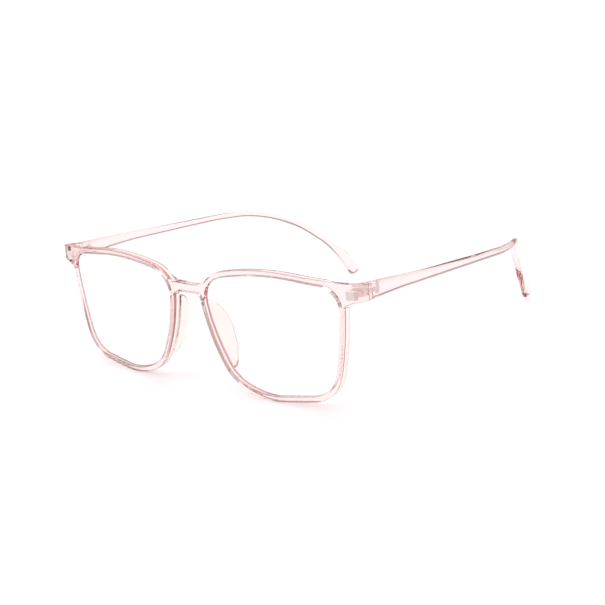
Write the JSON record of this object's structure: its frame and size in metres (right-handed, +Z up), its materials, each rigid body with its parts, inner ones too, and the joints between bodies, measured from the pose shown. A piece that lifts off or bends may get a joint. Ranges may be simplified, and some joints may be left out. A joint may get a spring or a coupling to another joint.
{
  "type": "glasses",
  "caption": "Square clear pink glasses with plain lenses, nose pads, and two temples that fold on metal hinges with three knuckles.",
  "frame": {"origin": "on the table, under the middle of the overall box of the open glasses", "axes": "+X to the side of the right-hand lens as seen from the front, +Y from the front back along the temples, +Z up"},
  "size_m": [0.1438, 0.148, 0.0451],
  "materials": {
    "front_plastic": "polished clear plastic with a pale pink tint",
    "temple_plastic": "polished clear plastic with a pale pink tint",
    "nose_pad_plastic": "smooth milky pink plastic",
    "lens_plastic": "polished clear lens with a faint coating",
    "hinge_metal": "satin nickel silver",
    "screw_metal": "bright turned steel"
  },
  "bodies": {
    "front": {"front_frame": "front_plastic", "nose_pad_left": "nose_pad_plastic", "nose_pad_right": "nose_pad_plastic", "lens_left": "lens_plastic", "lens_right": "lens_plastic", "front_hinge_left": "hinge_metal", "front_hinge_right": "hinge_metal", "hinge_screw_left": "screw_metal", "hinge_screw_right": "screw_metal"},
    "left_temple": {"temple_left": "temple_plastic", "temple_hinge_left": "hinge_metal"},
    "right_temple": {"temple_right": "temple_plastic", "temple_hinge_right": "hinge_metal"}
  },
  "joints": [
    {"name": "fold_left", "type": "hinge", "parent": "front", "child": "left_temple", "pos_m": [-0.0649, -0.06106, 0.03965], "axis": [0, 0.042, -0.9991], "range_deg": [0, 72]},
    {"name": "fold_right", "type": "hinge", "parent": "front", "child": "right_temple", "pos_m": [0.0649, -0.06106, 0.03965], "axis": [0, -0.042, 0.9991], "range_deg": [0, 82]}
  ]
}
